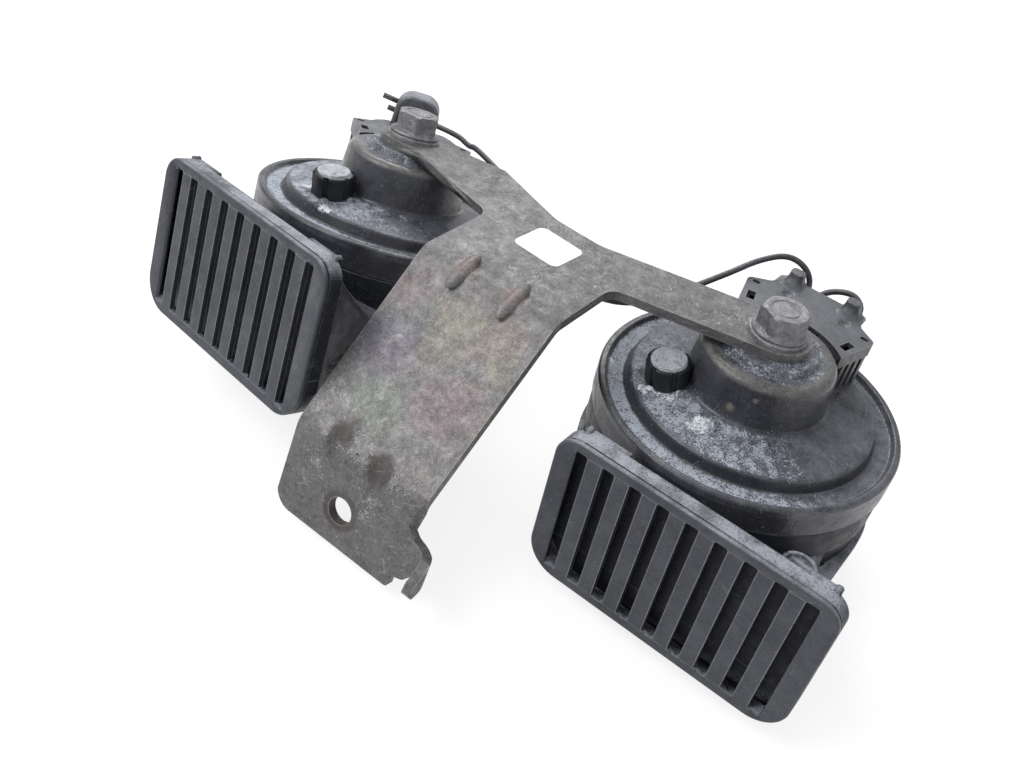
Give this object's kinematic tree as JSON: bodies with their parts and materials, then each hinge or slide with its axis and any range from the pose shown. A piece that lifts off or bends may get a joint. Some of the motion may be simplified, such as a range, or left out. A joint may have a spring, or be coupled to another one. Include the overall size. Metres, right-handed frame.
{
  "type": "vehicle horn pair on a bracket",
  "caption": "Pair of snail trumpet horns bolted to a folded steel Y bracket, slotted grilles at the mouths, terminal housings behind the cans and a lead between them.",
  "frame": {"origin": "centre of the fixing hole on the front face of the bracket's foot", "axes": "+Z along the right horn's axis, out of its cover; +X along its grille; -Y out of the mouths"},
  "size_m": [0.2419, 0.1564, 0.0818],
  "materials": {
    "bracket_zinc": "worn chromated zinc, mottled and stained",
    "cover_black": "black coating, corroded in the channel",
    "bolt_zinc": "dull grey zinc",
    "housing_plastic": "satin black moulding, dusty",
    "trumpet_plastic": "matt black moulding, worn edges",
    "grille_plastic": "matt black moulding",
    "cap_rubber": "aged rubber with a dusty top",
    "lead_black": "satin black insulation",
    "steel_core": "plain mild steel",
    "spring_steel": "bright spring steel",
    "coil_copper": "enamelled copper winding",
    "terminal_brass": "tinned brass",
    "contact_metal": "tungsten contacts",
    "bobbin_nylon": "natural nylon",
    "gasket_fibre": "fibre board"
  },
  "bodies": {
    "root": {"bracket": "bracket_zinc", "right_cover": "cover_black", "right_magnet_core": "steel_core", "right_bolt": "bolt_zinc", "right_washer": "bolt_zinc", "right_coil_bobbin": "bobbin_nylon", "right_coil": "coil_copper", "right_yoke_plate": "steel_core", "right_armature": "steel_core", "right_armature_washer": "steel_core", "right_diaphragm": "spring_steel", "right_gasket": "gasket_fibre", "right_breaker_fixed_blade": "spring_steel", "right_breaker_spring_blade": "spring_steel", "right_breaker_block": "bobbin_nylon", "right_breaker_contacts": "contact_metal", "right_adjuster_screw": "steel_core", "right_adjuster_cap": "cap_rubber", "right_terminal_housing": "housing_plastic", "right_terminal_lid": "housing_plastic", "right_terminals": "terminal_brass", "right_terminal_rivets": "steel_core", "right_trumpet_upper": "trumpet_plastic", "right_trumpet_lower": "trumpet_plastic", "right_grille": "grille_plastic", "left_cover": "cover_black", "left_magnet_core": "steel_core", "left_bolt": "bolt_zinc", "left_washer": "bolt_zinc", "left_coil_bobbin": "bobbin_nylon", "left_coil": "coil_copper", "left_yoke_plate": "steel_core", "left_armature": "steel_core", "left_armature_washer": "steel_core", "left_diaphragm": "spring_steel", "left_gasket": "gasket_fibre", "left_breaker_fixed_blade": "spring_steel", "left_breaker_spring_blade": "spring_steel", "left_breaker_block": "bobbin_nylon", "left_breaker_contacts": "contact_metal", "left_adjuster_screw": "steel_core", "left_adjuster_cap": "cap_rubber", "left_terminal_housing": "housing_plastic", "left_terminal_lid": "housing_plastic", "left_terminals": "terminal_brass", "left_terminal_rivets": "steel_core", "left_trumpet_upper": "trumpet_plastic", "left_trumpet_lower": "trumpet_plastic", "left_grille": "grille_plastic", "left_plug_boot": "cap_rubber", "left_cut_leads": "lead_black", "lead_between_horns": "lead_black", "lead_short": "lead_black"}
  },
  "joints": []
}
